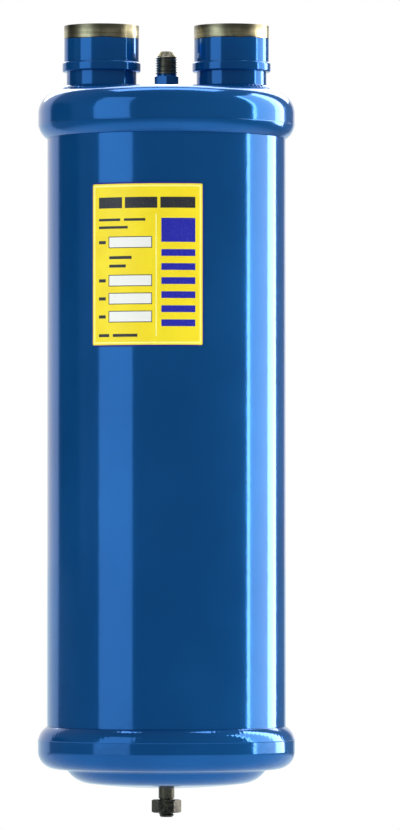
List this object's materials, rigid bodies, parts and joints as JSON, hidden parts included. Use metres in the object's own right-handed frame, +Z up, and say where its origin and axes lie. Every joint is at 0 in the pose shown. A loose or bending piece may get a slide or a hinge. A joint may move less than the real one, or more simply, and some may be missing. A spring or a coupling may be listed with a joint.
{
  "type": "refrigeration oil separator",
  "caption": "Welded blue oil separator vessel with solder inlet and outlet stubs, a flare oil return fitting, a float valve inside and a stud with a nut below.",
  "frame": {"origin": "middle of the stud's root at the lowest point of the bottom head", "axes": "+Z up along the vessel's axis, front with the label towards -Y"},
  "size_m": [0.1304, 0.1304, 0.4012],
  "materials": {
    "paint": "glossy blue lacquer on steel",
    "brass": "turned",
    "zinc": "yellow zinc plated",
    "label": "printed film",
    "steel": "bright",
    "mesh": "knitted wire",
    "copper": "drawn copper",
    "magnet": "sintered ferrite"
  },
  "bodies": {
    "vessel": {"shell": "paint", "top_head": "paint", "bottom_head": "paint", "upper_girth_weld": "paint", "lower_girth_weld": "paint", "inlet_stub": "paint", "outlet_stub": "paint", "inlet_stub_weld": "paint", "outlet_stub_weld": "paint", "fitting_weld": "paint", "oil_return_fitting": "brass", "mounting_stud": "zinc", "rating_label": "label", "inlet_core": "steel", "inlet_mesh": "mesh", "inlet_ring": "steel", "inlet_cup": "steel", "outlet_core": "steel", "outlet_mesh": "mesh", "outlet_ring": "steel", "outlet_cup": "steel", "baffle_plate": "steel", "oil_return_tube": "copper", "valve_body": "brass", "valve_seat": "steel", "passage_plug": "brass", "float_bracket": "steel", "bracket_screw_left": "zinc", "bracket_screw_right": "zinc", "lever_pin": "steel", "pin_clip_left": "steel", "pin_clip_right": "steel", "sump_magnet": "magnet"},
    "float": {"float_lever": "steel", "float_inner_half": "copper", "float_outer_half": "copper", "float_boss": "brass", "float_nut": "brass"},
    "needle": {"needle": "steel"},
    "mounting_nut": {"mounting_nut": "zinc"}
  },
  "joints": [
    {"name": "float_swing", "type": "hinge", "parent": "vessel", "child": "float", "pos_m": [0, 0.044, 0.062], "axis": [-1, 0, 0], "range_deg": [0, 12]},
    {"name": "needle_lift", "type": "slide", "parent": "vessel", "child": "needle", "axis": [0, 0, 1], "range_m": [0, 0.0026]},
    {"name": "nut_run", "type": "slide", "parent": "vessel", "child": "mounting_nut", "axis": [0, 0, 1], "range_m": [-0.03, 0.005]}
  ],
  "couplings": [
    {"joint": "needle_lift", "follows": "float_swing", "m_per_rad": 0.012}
  ]
}
